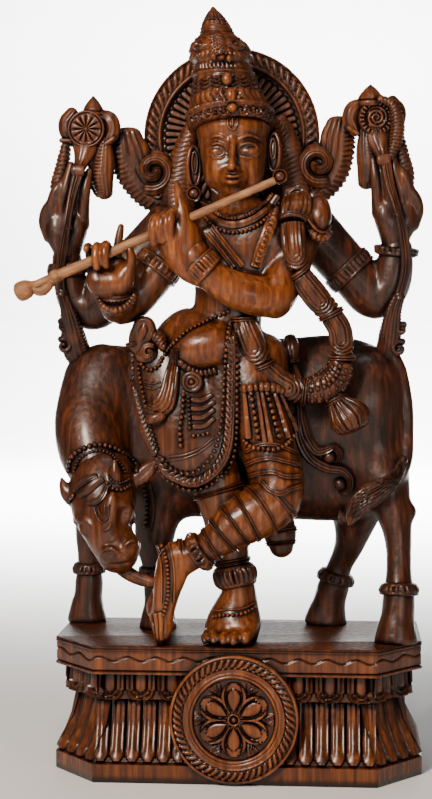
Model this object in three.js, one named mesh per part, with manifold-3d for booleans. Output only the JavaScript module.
// A wood carving of a four-armed flute player who stands cross-legged before a cow, on a lotus plinth.
// The group and its plinth are one block of wood. The flute is a second, paler piece held in two hands.
// Units are millimetres, +Z is up, and the origin is the middle of the plinth's underside.
import * as THREE from "three";
import { mergeVertices } from "three/addons/utils/BufferGeometryUtils.js";
import Module from "manifold-3d";

const wasm = await Module();
wasm.setup();

// Driving dimensions of the plinth
const PLINTH_WIDTH = 440;
const PLINTH_DEPTH = 200;
const PLINTH_HEIGHT = 160;
const CORNER_CUT_ACROSS = 54;
const CORNER_CUT_DEEP = 64;
const FOOT_SLAB_HEIGHT = 24;
const TOP_SLAB_HEIGHT = 34;
const PETAL_ROW_HEIGHT = 34;
const WAIST_INSET = 32;
const PETAL_INSET = 13;
const LIP = 4;
const FLUTING_PITCH = 38;
const PETAL_PITCH = 36;

// Driving dimensions of the wheel on the plinth's front
const WHEEL_RADIUS = 75;
const WHEEL_PROUD = 9;
const WHEEL_CLEAR_OF_GROUND = 3;
const WHEEL_PETALS = 6;
const WHEEL_NOTCHES = 12;

// The figure's height above the plinth. Its pose and carving are given for 750 and scale with it.
const FIGURE_HEIGHT = 750;
const k = FIGURE_HEIGHT / 750;
const HALO_RADIUS = 107;
const HALO_RIBS = 16;
const EMBLEM_RADIUS = 23;

// Driving dimensions of the flute
const FLUTE_LENGTH = 330;
const FLUTE_THICKNESS_MOUTH = 9;
const FLUTE_THICKNESS_TAIL = 13;
const FLUTE_CLEARANCE = 0.6;

// Solids, and the few shapes that the whole carving is made of

function solid(geometry) {
  geometry.deleteAttribute("normal");
  geometry.deleteAttribute("uv");
  const merged = mergeVertices(geometry, 1e-3);
  return new wasm.Manifold(
    new wasm.Mesh({
      numProp: 3,
      vertProperties: merged.attributes.position.array,
      triVerts: new Uint32Array(merged.index.array),
    }),
  );
}

function geometryOf(manifold) {
  const mesh = manifold.getMesh();
  const geometry = new THREE.BufferGeometry();
  geometry.setAttribute("position", new THREE.BufferAttribute(mesh.vertProperties, 3));
  geometry.setIndex(new THREE.BufferAttribute(mesh.triVerts, 1));
  return geometry;
}

const joined = (parts) => wasm.Manifold.union(parts);

// A closed skin through rings of points: a cylinder whose rows of vertices are moved onto the rings.
function skin(rings) {
  const count = rings[0].length;
  const last = rings.length - 1;
  const geometry = new THREE.CylinderGeometry(1, 1, last, count, last);
  const position = geometry.attributes.position;
  for (let i = 0; i < position.count; i++) {
    const [x, y, z] = [position.getX(i), position.getY(i), position.getZ(i)];
    const ring = rings[Math.round(last / 2 - y)];
    const step = Math.round((Math.atan2(x, z) / (2 * Math.PI)) * count);
    const centre = ring.reduce((sum, p) => sum.add(p), new THREE.Vector3()).divideScalar(count);
    const point = Math.hypot(x, z) < 0.5 ? centre : ring[(step + count) % count];
    position.setXYZ(i, point.x, point.y, point.z);
  }
  const made = solid(geometry);
  return made.volume() < 0 ? skin(rings.map((ring) => [...ring].reverse())) : made;
}

const DEPTH = new THREE.Vector3(0, 1, 0);

// A limb: an oval section carried along a smooth path through stations [x, y, z, across, deep].
// The section's deep axis stays as near to Y as the path allows. A round share caps both ends.
function limb(stations, sides = 6, round = 0) {
  const path = new THREE.CatmullRomCurve3(
    stations.map(([x, y, z]) => new THREE.Vector3(x, y, z).multiplyScalar(k)),
    false,
    "centripetal",
  );
  const last = stations.length - 1;
  const ringAt = (i, shift, scale) => {
    const [, , , across, deep = across] = stations[i];
    const tangent = path.getTangent(i / last);
    const middle = path.getPoint(i / last).addScaledVector(tangent, shift * Math.min(across, deep) * k);
    const b = DEPTH.clone().addScaledVector(tangent, -DEPTH.dot(tangent));
    if (b.length() < 0.2) b.set(0, 0, 1).addScaledVector(tangent, -tangent.z);
    b.normalize();
    const n = new THREE.Vector3().crossVectors(tangent, b);
    return Array.from({ length: sides }, (_, side) => {
      const angle = (side / sides) * 2 * Math.PI;
      return middle
        .clone()
        .addScaledVector(n, across * k * scale * Math.cos(angle))
        .addScaledVector(b, deep * k * scale * Math.sin(angle));
    });
  };
  const rings = stations.map((_, i) => ringAt(i, 0, 1));
  if (round) rings.unshift(ringAt(0, -round, 0.5));
  if (round) rings.push(ringAt(last, round, 0.5));
  return skin(rings);
}

// An egg of given radii, leaned in the picture plane by a turn about Y, in degrees.
function egg([x, y, z], [rx, ry, rz], lean = 0, sides = 6, rows = 4) {
  const geometry = new THREE.SphereGeometry(1, sides, rows);
  geometry.rotateX(Math.PI / 2);
  geometry.scale(rx * k, ry * k, rz * k);
  geometry.rotateY(THREE.MathUtils.degToRad(lean));
  geometry.translate(x * k, y * k, z * k);
  return solid(geometry);
}

// The station at a share of the way along a limb
function stationAt(stations, share) {
  const spot = share * (stations.length - 1);
  const first = Math.min(Math.floor(spot), stations.length - 2);
  return stations[first].map((v, i) => THREE.MathUtils.lerp(v, stations[first + 1][i], spot - first));
}

// The stations of a limb with narrow rings added that stand proud, at shares of its path
function ringed(stations, shares, proud, half = 0.014) {
  const own = stations.map((station, i) => [i / (stations.length - 1), station]);
  const rings = shares.flatMap((share) =>
    [-half, 0, half].map((step) => {
      const [x, y, z, across, deep] = stationAt(stations, share + step);
      const more = step ? 0 : proud;
      return [share + step, [x, y, z, across + more, deep + more]];
    }),
  );
  const clear = ([share]) => shares.every((at) => Math.abs(at - share) > 1.5 * half);
  const all = [...own.filter(clear), ...rings];
  return all.sort(([one], [other]) => one - other).map(([, station]) => station);
}

// A turned piece about Z from a profile of [radius, z], leaned about Y and put in its place
function turned(profile, [x, y, z], lean = 0, sides = 8) {
  const geometry = new THREE.LatheGeometry(
    profile.map(([r, up]) => new THREE.Vector2(r * k, up * k)),
    sides,
  );
  geometry.rotateX(Math.PI / 2);
  geometry.rotateY(THREE.MathUtils.degToRad(lean));
  geometry.translate(x * k, y * k, z * k);
  return solid(geometry);
}

// A round shield that faces forward, from a profile of [radius, proud]. Its face is carved by a
// function of the radius and the angle that says how much prouder each vertex stands.
function shield(profile, steps, carve) {
  const geometry = new THREE.LatheGeometry(
    profile.map(([r, out]) => new THREE.Vector2(r, out)),
    steps,
  );
  const position = geometry.attributes.position;
  for (let i = 0; i < position.count; i++) {
    const [x, y, z] = [position.getX(i), position.getY(i), position.getZ(i)];
    const step = Math.round((Math.atan2(x, z) / (2 * Math.PI)) * steps);
    position.setY(i, y + carve(Math.hypot(x, z), ((step % steps) + steps) % steps));
  }
  geometry.rotateX(Math.PI);
  return solid(geometry);
}

// The plinth

// The plan of the plinth, drawn in by an inset: straight back and sides, and two cut front corners
function planRing(inset, z) {
  const w = PLINTH_WIDTH / 2 - inset;
  const front = -PLINTH_DEPTH / 2 + inset;
  const back = PLINTH_DEPTH / 2 - Math.min(inset, LIP);
  return [
    [-w + CORNER_CUT_ACROSS, front],
    [w - CORNER_CUT_ACROSS, front],
    [w, front + CORNER_CUT_DEEP],
    [w, back],
    [-w, back],
    [-w, front + CORNER_CUT_DEEP],
  ].map(([x, y]) => new THREE.Vector3(x, y, z));
}

const PETAL_TOP = PLINTH_HEIGHT - TOP_SLAB_HEIGHT;
const WAIST_Z = PETAL_TOP - PETAL_ROW_HEIGHT;
const FLUTING_RISE = WAIST_Z - FOOT_SLAB_HEIGHT;

// The slope of the fluted row, as an inset at a share of the way up to the waist
const slopeInset = (share) => LIP + (WAIST_INSET - LIP) * share;

function plinthCore() {
  return skin([
    planRing(0, 0),
    planRing(0, FOOT_SLAB_HEIGHT - LIP),
    planRing(LIP, FOOT_SLAB_HEIGHT),
    planRing(WAIST_INSET, WAIST_Z),
    planRing(PETAL_INSET, WAIST_Z + LIP),
    planRing(PETAL_INSET + LIP, PETAL_TOP),
    planRing(LIP / 2, PETAL_TOP),
    planRing(0, PETAL_TOP + LIP),
    planRing(LIP / 2, PETAL_TOP + 2 * LIP),
    planRing(0, PLINTH_HEIGHT),
  ]);
}

// The places along the front, the cut corners and the sides where a row of ridges stands. Each has
// its foot on the plan, the directions along the wall and out of it, and its length of wall.
function rowPlaces(pitch) {
  const corners = planRing(0, 0);
  const walls = [[4, 5], [5, 0], [0, 1], [1, 2], [2, 3]].map((ends) => ends.map((i) => corners[i]));
  return walls.flatMap(([from, to]) => {
    const along = to.clone().sub(from);
    const length = along.length();
    along.normalize();
    const count = Math.round((length - LIP) / pitch);
    return Array.from({ length: count }, (_, i) => ({
      at: from.clone().addScaledVector(along, ((i + 0.5) / count) * length),
      along,
      outward: new THREE.Vector3(along.y, -along.x, 0),
      wide: length / count,
    }));
  });
}

const besideWheel = ({ at, outward }) =>
  outward.y > -0.9 || Math.abs(at.x) > WHEEL_RADIUS - FLUTING_PITCH / 2;

// A ridge that follows the plinth's slope, from stations [inset, z, half width, proud]
function ridge({ at, along, outward }, sections, stations) {
  return skin(
    stations.map(([inset, z, half, proud]) =>
      sections.map(([side, out]) =>
        at
          .clone()
          .setZ(z)
          .addScaledVector(along, side * half)
          .addScaledVector(outward, (out ? proud : -LIP) - inset),
      ),
    ),
  );
}

const KEEL = [[-1, 0], [0, 1], [1, 0]];
const PAD = [[-1, 0], [-0.6, 1], [0.6, 1], [1, 0]];

function fluting() {
  return rowPlaces(FLUTING_PITCH)
    .filter(besideWheel)
    .map((place) =>
      ridge(
        place,
        KEEL,
        [0.08, 0.97].map((share) => [
          slopeInset(share),
          FOOT_SLAB_HEIGHT + FLUTING_RISE * share,
          place.wide * (share < 0.1 ? 0.3 : 0.45),
          share < 0.1 ? 5 : 3,
        ]),
      ),
    );
}

function petals() {
  return rowPlaces(PETAL_PITCH)
    .filter(besideWheel)
    .map((place) =>
      ridge(place, PAD, [
        [PETAL_INSET, WAIST_Z + LIP / 2, place.wide * 0.22, LIP / 2],
        [PETAL_INSET + LIP, PETAL_TOP - 0.3, place.wide * 0.38, LIP],
      ]),
    );
}

// The wheel is a round shield with a raised rim, a ring of notches, a six-petalled flower and a hub.
function wheel() {
  const [rim, notchOut, notchIn, ringIn, tip, heart, hub] = [1, 0.93, 0.74, 0.62, 0.56, 0.3, 0.1];
  const steps = 2 * WHEEL_NOTCHES;
  const perPetal = steps / WHEEL_PETALS;
  const notched = (step) => (step % 2 ? -0.3 : 0);
  const petalled = (step) => 0.35 * Math.cos((2 * Math.PI * step) / perPetal);
  const profile = [
    [0, -3],
    [rim, -3],
    [rim, 0.9],
    [notchOut, 0.55],
    [notchIn, 0.95],
    [ringIn, 0.9],
    [tip, 0.35],
    [heart, 0.6],
    [hub, 0.3],
    [0, 0.9],
  ].map(([r, out]) => [r * WHEEL_RADIUS, out * WHEEL_PROUD]);
  const carve = (radius, step) => {
    const share = radius / WHEEL_RADIUS;
    if (share > notchIn - 0.01 && share < rim - 0.01) return notched(step) * WHEEL_PROUD;
    if (share > hub + 0.01 && share < ringIn - 0.01) return petalled(step) * WHEEL_PROUD;
    return 0;
  };
  return shield(profile, steps, carve).translate([
    0,
    -PLINTH_DEPTH / 2,
    WHEEL_RADIUS + WHEEL_CLEAR_OF_GROUND,
  ]);
}

function plinth() {
  return joined([plinthCore(), ...fluting(), ...petals(), wheel()]);
}

// The cow

const COW_BODY = [
  [-228, 30, 258, 36, 24],
  [-223, 30, 258, 70, 32],
  [-210, 30, 258, 86, 38],
  [-184, 30, 253, 94, 43],
  [-136, 30, 247, 104, 48],
  [-50, 30, 246, 108, 50],
  [61, 30, 248, 112, 50],
  [128, 30, 250, 112, 48],
  [168, 30, 252, 98, 45],
  [190, 28, 252, 72, 36],
  [200, 28, 252, 44, 24],
];

// Each leg runs from the body down to the hoof, which stands on the plinth.
const COW_LEGS = [
  [
    [-182, 50, 205, 36, 28],
    [-188, 60, 162, 25, 21],
    [-196, 72, 112, 17, 17],
    [-196, 76, 66, 17, 17],
    [-196, 76, 60, 21, 20],
    [-198, 76, 42, 18, 18],
    [-199, 76, 0, 26, 22],
  ],
  [
    [-90, 8, 205, 38, 24],
    [-97, 18, 165, 30, 21],
    [-107, 25, 107, 26, 19],
    [-104, 29, 66, 18, 17],
    [-102, 30, 60, 21, 20],
    [-102, 31, 36, 17, 17],
    [-103, 32, -2, 24, 21],
  ],
  [
    [150, 40, 195, 46, 28],
    [143, 54, 150, 34, 24],
    [134, 64, 102, 20, 18],
    [119, 72, 66, 18, 17],
    [118, 72, 60, 22, 21],
    [112, 74, 38, 19, 18],
    [104, 74, -2, 29, 22],
  ],
  [
    [158, 18, 240, 48, 34],
    [173, 0, 190, 34, 30],
    [190, -20, 131, 19, 20],
    [192, -33, 70, 17, 17],
    [192, -34, 64, 21, 21],
    [190, -38, 34, 18, 18],
    [189, -42, -2, 27, 24],
  ],
];

function cowHead() {
  return [
    limb(
      [
        [-184, 12, 296, 36, 34],
        [-183, -6, 252, 44, 38],
        [-172, -24, 212, 42, 35],
        [-162, -40, 190, 30, 26],
      ],
      8,
    ),
    limb(
      [
        [-161, -34, 226, 30, 20],
        [-161, -42, 196, 39, 31],
        [-160, -53, 164, 41, 32],
        [-155, -60, 138, 35, 28],
        [-142, -67, 112, 27, 24],
        [-136, -69, 96, 25, 20],
      ],
      8,
      0.4,
    ),
    // The stub of a horn, the ears, and the tongue that licks the player's foot
    limb([[-134, -44, 200, 9], [-127, -48, 212, 7], [-130, -46, 224, 3]]),
    limb([[-188, -42, 165, 8, 7], [-204, -38, 180, 9, 6], [-215, -32, 193, 2, 2]]),
    limb([[-122, -50, 186, 7, 7], [-105, -46, 200, 9, 5], [-89, -40, 216, 2, 2]]),
    limb([[-136, -62, 90, 12, 8], [-122, -58, 70, 9, 7], [-98, -62, 62, 8, 7]]),
  ];
}

const COW_TAIL = [
  [186, 12, 342, 8, 8],
  [200, 8, 300, 7, 8],
  [204, 0, 246, 7, 8],
  [197, -16, 200, 9, 9],
  [182, -30, 183, 13, 11],
  [164, -34, 170, 15, 10],
  [144, -28, 150, 6, 7],
];

function cow() {
  return [
    limb(COW_BODY, 10),
    ...COW_LEGS.map((stations) => limb(stations, 6)),
    ...cowHead(),
    limb(COW_TAIL, 5),
  ];
}

// The player's body and legs

const TORSO = [
  [-44, -26, 318, 82, 38],
  [-34, -32, 347, 68, 42],
  [-11, -36, 396, 43, 34],
  [-2, -40, 440, 54, 36],
  [2, -40, 480, 70, 37],
  [1, -38, 506, 62, 32],
  [-1, -38, 518, 26, 24],
  [-3, -42, 548, 22, 22],
];

const CROSSED_LEG = [
  [12, -38, 330, 50, 38],
  [25, -50, 276, 38, 34],
  [38, -60, 229, 33, 31],
  [50, -68, 188, 31, 31],
  [40, -78, 163, 30, 30],
  [2, -86, 145, 30, 26],
  [-38, -88, 114, 18, 18],
  [-60, -87, 98, 17, 16],
];

const STANDING_LEG = [
  [-86, -30, 325, 42, 34],
  [-58, -36, 262, 38, 34],
  [-30, -40, 200, 34, 32],
  [-14, -42, 150, 27, 26],
  [-9, -43, 104, 23, 21],
  [-5, -45, 84, 20, 20],
  [-5, -45, 76, 27, 25],
  [-4, -45, 62, 27, 25],
  [4, -44, 44, 21, 22],
  [10, -42, -2, 22, 25],
];

function legs() {
  return [
    limb(ringed(CROSSED_LEG, [0.36, 0.87], 4), 8),
    limb(STANDING_LEG, 8),
    // The foot that rests on its toes
    limb([
      [-66, -86, 106, 22, 15],
      [-76, -88, 78, 19, 14],
      [-83, -88, 46, 13, 12],
      [-86, -84, -1, 8, 8],
    ]),
    // The flat foot with the fan of its toes, and its great toe
    limb([[6, -28, 12, 17, 13], [2, -52, 16, 20, 16], [-6, -72, 9, 26, 10], [-7, -88, 4, 27, 5]]),
    egg([16, -76, 8], [8, 18, 8]),
    // The rolled end of the cloth that hangs behind the knee
    limb([[26, -28, 196, 18, 16], [44, -22, 145, 19, 18], [50, -25, 112, 20, 18], [52, -26, 97, 13, 12]]),
  ];
}

// The arms run from the shoulder over the bracelet into the palm.
const ARMS = {
  frontLeft: [
    [76, -36, 500, 31, 29],
    [71, -48, 458, 29, 28],
    [48, -66, 411, 27, 26],
    [28, -77, 402, 26, 25],
    [-8, -88, 420, 23, 21],
    [-26, -92, 429, 29, 23],
    [-39, -93, 439, 29, 23],
    [-47, -93, 448, 25, 17],
    [-60, -93, 464, 25, 14],
    [-73, -94, 480, 20, 10],
  ],
  frontRight: [
    [-60, -32, 484, 26, 28],
    [-99, -40, 432, 26, 26],
    [-133, -50, 392, 27, 26],
    [-140, -66, 388, 25, 22],
    [-139, -78, 402, 25, 22],
    [-140, -86, 418, 21, 16],
    [-142, -93, 446, 24, 11],
  ],
  backLeft: [
    [84, 6, 494, 32, 26],
    [135, 10, 439, 30, 25],
    [166, 10, 403, 27, 24],
    [178, 8, 408, 22, 21],
    [190, 3, 446, 23, 21],
    [191, 2, 458, 23, 21],
    [192, 0, 466, 18, 14],
    [193, -2, 492, 27, 14],
    [192, -2, 522, 23, 12],
  ],
  backRight: [
    [-84, 6, 492, 34, 26],
    [-148, 8, 434, 30, 25],
    [-188, 10, 396, 28, 24],
    [-202, 8, 402, 21, 20],
    [-210, 3, 440, 23, 21],
    [-211, 2, 452, 23, 21],
    [-211, 0, 460, 19, 14],
    [-211, -2, 484, 30, 14],
    [-207, -2, 514, 27, 12],
  ],
};

const finger = (stations) => limb(stations, 4);

// A back hand holds its emblem on the tips of three upright fingers and a thumb.
function backFingers(palm, tip) {
  const lean = [tip[0] - palm[0], tip[1] - palm[1], tip[2] - palm[2]];
  const side = Math.sign(palm[0]);
  return [-1.2, -0.1, 1, 2.2].map((place) => {
    const thumb = place > 2 ? 0.7 : 1;
    const low = [palm[0] + side * place * 11, palm[1], palm[2] - (1 - thumb) * 70, 6.5];
    const high = lean.map((v, i) => palm[i] + v * thumb + (i ? 0 : side * place * 8));
    return limb([low, [...high, 5]], 5);
  });
}

function pipingFingers() {
  return [
    // The left hand's index points up, and three fingers fold down over the flute.
    finger([[-58, -97, 480, 8, 8], [-61, -98, 512, 7, 7], [-68, -95, 541, 3, 3]]),
    ...[0, 1, 2].map((i) =>
      finger([
        [-73 - i * 10, -102, 470 - i * 4, 6.5],
        [-74 - i * 10, -112, 490 - i * 4, 6.5],
        [-76 - i * 10, -102, 506 - i * 4, 7],
        [-77 - i * 10, -87, 496 - i * 4, 6.5],
      ]),
    ),
    // The right hand lies palm up: two fingers over the flute, one raised, and the thumb
    ...[0, 1].map((i) =>
      finger([
        [-146 - i * 12, -88, 442, 7],
        [-149 - i * 12, -86, 468 - i * 4, 7],
        [-149 - i * 12, -106, 473 - i * 4, 6.5],
        [-148 - i * 12, -113, 446 - i * 3, 6],
      ]),
    ),
    finger([[-142, -84, 450, 7], [-138, -82, 476, 7], [-134, -82, 496, 3]]),
    finger([[-129, -88, 418, 9], [-120, -95, 440, 8], [-122, -99, 458, 5]]),
  ];
}

// The head, the crown and the halo

const CROWN_LEAN = -9;

function head() {
  return [
    limb(
      [
        [-2, -66, 524, 9, 9],
        [-2, -58, 536, 25, 22],
        [-3, -49, 560, 38, 36],
        [-4, -43, 586, 42, 42],
        [-7, -38, 612, 40, 40],
      ],
      10,
    ),
    // The wood left between the head and the halo
    limb([[-6, 0, 528, 26, 28], [-8, 4, 596, 44, 32], [-14, 4, 662, 26, 30]]),
    // The nose, the ears with their round studs, and the hair that falls to the shoulders
    limb([[-4, -82, 592, 3, 4], [-2, -90, 572, 7, 7], [-2, -84, 546, 12, 4]], 5),
    ...[-1, 1].flatMap((side) => {
      const low = 531 + side * 7;
      const ear = [
        [42, -32, 596, 7, 9],
        [45, -34, 556, 6, 8],
        [47, -42, low + 4, 10, 9],
        [47, -42, low - 6, 9, 8],
      ];
      const hair = [[40, -10, 604, 12, 16], [54, -6, 556, 18, 18], [62, -8, 512, 20, 18]];
      return [ear, hair].map((line) => limb(line.map(([out, ...rest]) => [-5 + side * out, ...rest]), 6));
    }),
  ];
}

function crown() {
  const tiers = [
    [0, -6],
    [52, -4],
    [54, 12],
    [47, 18],
    [37, 58],
    [34, 76],
    [36, 92],
    [30, 104],
    [17, 112],
    [20, 119],
    [7, 136],
    [0, 143],
  ];
  return turned(tiers, [-7, -38, 610], CROWN_LEAN, 10);
}

// The halo is a round shield behind the head, with a raised rim and a ring of ribs.
function halo() {
  const r = HALO_RADIUS;
  const ribs = [r - 26, r - 58];
  const profile = [
    [0, -6],
    [r, -6],
    [r, 5],
    [r - 19, 8],
    [ribs[0], 4],
    [ribs[1], 2],
    [0, 2],
  ].map(([radius, out]) => [radius * k, out * k]);
  const inRibs = (radius) => radius < ribs[0] * k + 0.1 && radius > ribs[1] * k - 0.1;
  const carve = (radius, step) => (inRibs(radius) && step % 2 ? -3 * k : 0);
  return shield(profile, 2 * HALO_RIBS, carve).translate([-11 * k, 26 * k, 605 * k]);
}

// The scrolls beside the halo, the emblems and their ribbons

// A curl of leaf: a limb along a spiral that tightens towards its eye
function curl([x, y, z], radius, turns, startDegrees, side, thick) {
  const stations = [0, 0.25, 0.5, 0.75, 1].map((share) => {
    const angle = THREE.MathUtils.degToRad(startDegrees) + share * turns * 2 * Math.PI;
    const r = radius * (1 - share * 0.75);
    const [across, up] = [side * r * Math.cos(angle), r * Math.sin(angle)];
    return [x + across, y - share * 6, z + up, thick * (1 - share * 0.4), 10];
  });
  return limb(stations, 5);
}

function flame(side, spread) {
  const at = (out, y, z, across, deep) => [-11 + side * (out + spread), y, z + spread, across, deep];
  return [
    curl(at(93, 20, 564), 28, 0.9, 200, -side, 10),
    limb(
      [
        at(62, 24, 518, 18, 13),
        at(86, 22, 526, 23, 14),
        at(111, 20, 540, 24, 14),
        at(120, 18, 570, 23, 13),
        at(125, 12, 602, 13, 10),
      ],
      5,
    ),
  ];
}

// An emblem is a small shield on the finger tips, with a bud on top and a knotted ribbon behind it.
// A leaf hangs from the inner end of the knot and a frill from its outer end.
function emblem([x, y, z], lobes) {
  const r = EMBLEM_RADIUS * k;
  const profile = [[0, -16 * k], [r, -16 * k], [r, 0], [r * 0.7, -k], [0, 2 * k]];
  const carve = (radius, step) => (Math.abs(radius - r * 0.7) < 0.1 && step % 2 ? -4 * k : 0);
  const side = Math.sign(x);
  const out = (dx, dy, dz, across, deep) => [x + side * dx, y + dy, z + dz, across, deep];
  const knot = [
    out(31, 10, 4, 9, 8),
    out(24, 10, 14, 17, 10),
    out(-28, 10, 6, 16, 10),
    out(-41, 10, 0, 8, 8),
  ];
  const leaf = [out(-27, 12, 2, 8, 9), out(-18, 14, -36, 18, 11), out(-14, 16, -77, 13, 11)];
  const frill = [
    out(26, 10, -4, 8, 9),
    out(30, 12, -50, 13, 10),
    out(33, 10, -90, 15, 12),
    out(30, 10, -112, 8, 9),
  ];
  return [
    shield(profile, 2 * lobes, carve).translate([x * k, y * k, z * k]),
    turned([[0, -8], [16, -5], [17, 2], [11, 9], [0, 22]], [x - side * 7, y + 8, z + 24], 0, 6),
    limb(knot, 5),
    limb(leaf, 5),
    limb(frill, 5),
  ];
}

function emblems() {
  return [...emblem([-184, -12, 602], 6), ...emblem([169, -12, 616], 5)];
}

// The ribbons run down over the forearms and end in curling leaves on the cow's back.
function streamers() {
  const right = [
    [-208, -19, 462, 7, 5],
    [-206, -18, 430, 8, 6],
    [-209, -14, 386, 11, 8],
    [-206, -6, 352, 16, 12],
    [-193, 8, 332, 15, 14],
  ];
  const left = [
    [196, -19, 468, 7, 5],
    [192, -18, 430, 8, 6],
    [188, -14, 388, 12, 9],
    [186, -6, 360, 16, 13],
    [180, 8, 338, 15, 14],
  ];
  return [limb(right, 5), limb(left, 5)];
}

// The garland, the girdle and the cloth

const GARLAND = [
  [72, -58, 518, 14, 9],
  [68, -76, 480, 15, 10],
  [72, -74, 440, 16, 10],
  [97, -64, 408, 19, 12],
  [116, -58, 384, 18, 13],
  [124, -54, 356, 16, 14],
  [114, -54, 316, 20, 16],
  [86, -58, 298, 17, 14],
  [58, -64, 308, 16, 13],
  [38, -66, 332, 16, 13],
  [34, -64, 364, 15, 12],
  [30, -60, 392, 14, 11],
];

function garland() {
  return [
    limb(ringed(GARLAND, [0.13, 0.45, 0.86], 4), 6),
    limb([[110, -54, 312, 12, 10], [124, -57, 277, 20, 15], [134, -58, 258, 17, 13]], 6),
  ];
}

// The hem of the hanging apron runs down from one hip, round below the knee and up the other thigh.
const HEM = [
  [-126, -30, 348],
  [-120, -40, 296],
  [-108, -50, 246],
  [-88, -66, 206],
  [-60, -80, 184],
  [-30, -84, 186],
  [-6, -82, 220],
  [3, -76, 284],
  [-2, -70, 344],
  [-14, -64, 380],
];

function apron() {
  return [
    limb(HEM.map((p) => [...p, 9, 7]), 5),
    // The cloth over the standing thigh and the pleated scarf end
    limb([[-80, -42, 330, 46, 22], [-62, -54, 266, 46, 23], [-46, -62, 212, 32, 20]], 8),
    limb([[-68, -68, 348, 9, 8], [-74, -70, 308, 12, 10], [-84, -72, 280, 15, 10], [-100, -66, 266, 9, 8]]),
    // The knotted sash on the hip
    limb([
      [-120, -44, 388, 7, 8],
      [-112, -48, 368, 16, 14],
      [-104, -50, 340, 20, 15],
      [-96, -48, 326, 12, 12],
    ]),
  ];
}

function dress() {
  return [
    // The broad necklace and the chest band
    limb(
      [
        [-38, -56, 514, 8],
        [-14, -76, 490, 8],
        [8, -80, 484, 8],
        [30, -74, 492, 8],
        [48, -58, 512, 8],
      ],
      5,
    ),
    limb([[-36, -64, 482, 7, 5], [-18, -78, 460, 7, 5], [2, -76, 430, 7, 5]], 4),
    // The bead tassels over the crossed thigh
    limb([[34, -78, 292, 10, 6], [36, -88, 262, 18, 8], [40, -88, 236, 20, 6]], 6),
    // The leaf on the shoulder, and the sash end that lies on the cow's flank
    egg([90, -42, 498], [16, 18, 22], 20),
    limb([[66, -36, 288, 8, 8], [76, -32, 250, 8, 8], [88, -26, 222, 9, 8], [108, -22, 206, 7, 7]], 4),
  ];
}

// The flute, and its axis through both hands from the mouth end to the tail

const FLUTE_MOUTH = new THREE.Vector3(47, -99, 540).multiplyScalar(k);
const FLUTE_TOWARDS = new THREE.Vector3(-258, -101, 409).multiplyScalar(k);

// The flute's rod, thicker towards the tail. Extra thickness makes the bore through the hands.
function fluteRod(extra, length) {
  const mouth = FLUTE_THICKNESS_MOUTH / 2 + extra;
  const tail = FLUTE_THICKNESS_TAIL / 2 + extra;
  const profile = [[0, -extra], [mouth, -extra], [tail, length], [0, length]];
  return solid(new THREE.LatheGeometry(profile.map(([r, y]) => new THREE.Vector2(r, y)), 8));
}

// The tail ends in a collar and a bulb with a small scroll on its upper side.
function fluteTail() {
  const t = FLUTE_THICKNESS_TAIL;
  const ball = (fromEnd, side, r) => {
    const geometry = new THREE.SphereGeometry(1, 6, 4);
    geometry.scale(r, r, t * 0.6);
    geometry.translate(side, FLUTE_LENGTH - fromEnd, 0);
    return solid(geometry);
  };
  const collar = new THREE.CylinderGeometry(t * 0.62, t * 0.62, t * 0.5, 8);
  collar.translate(0, FLUTE_LENGTH - t * 4, 0);
  return [solid(collar), ball(t * 2.4, -t * 0.4, t * 0.6), ball(t * 0.9, t * 0.2, t * 0.95)];
}

function alongFlute(manifold) {
  const axis = FLUTE_TOWARDS.clone().sub(FLUTE_MOUTH).normalize();
  const turn = new THREE.Quaternion().setFromUnitVectors(new THREE.Vector3(0, 1, 0), axis);
  const place = new THREE.Matrix4().compose(FLUTE_MOUTH, turn, new THREE.Vector3(1, 1, 1));
  return manifold.transform(place.elements);
}

// The two pieces

function carving() {
  const figure = joined([
    ...cow(),
    limb(TORSO, 8),
    ...legs(),
    ...Object.values(ARMS).map((stations) => limb(stations, 6)),
    ...pipingFingers(),
    ...backFingers([192, -4, 516], [171, -6, 598]),
    ...backFingers([-207, -4, 508], [-186, -6, 584]),
    ...head(),
    crown(),
    halo(),
    ...flame(-1, 0),
    ...flame(1, 10),
    ...emblems(),
    ...streamers(),
    ...garland(),
    ...apron(),
    ...dress(),
  ]);
  const bore = alongFlute(fluteRod(FLUTE_CLEARANCE, FLUTE_LENGTH));
  return joined([plinth(), figure.subtract(bore).translate([0, 0, PLINTH_HEIGHT])]);
}

function flute() {
  return alongFlute(joined([fluteRod(0, FLUTE_LENGTH - FLUTE_THICKNESS_TAIL), ...fluteTail()]));
}

const group = new THREE.Group();

const stainedWood = new THREE.MeshStandardMaterial({ color: 0x4a2412, roughness: 0.38, metalness: 0 });
const carvingMesh = new THREE.Mesh(geometryOf(carving()), stainedWood);
carvingMesh.name = "carved_group";
group.add(carvingMesh);

const paleWood = new THREE.MeshStandardMaterial({ color: 0x8a5a3a, roughness: 0.55, metalness: 0 });
const fluteMesh = new THREE.Mesh(geometryOf(flute()), paleWood);
fluteMesh.name = "flute";
fluteMesh.position.z = PLINTH_HEIGHT;
group.add(fluteMesh);

export default group;
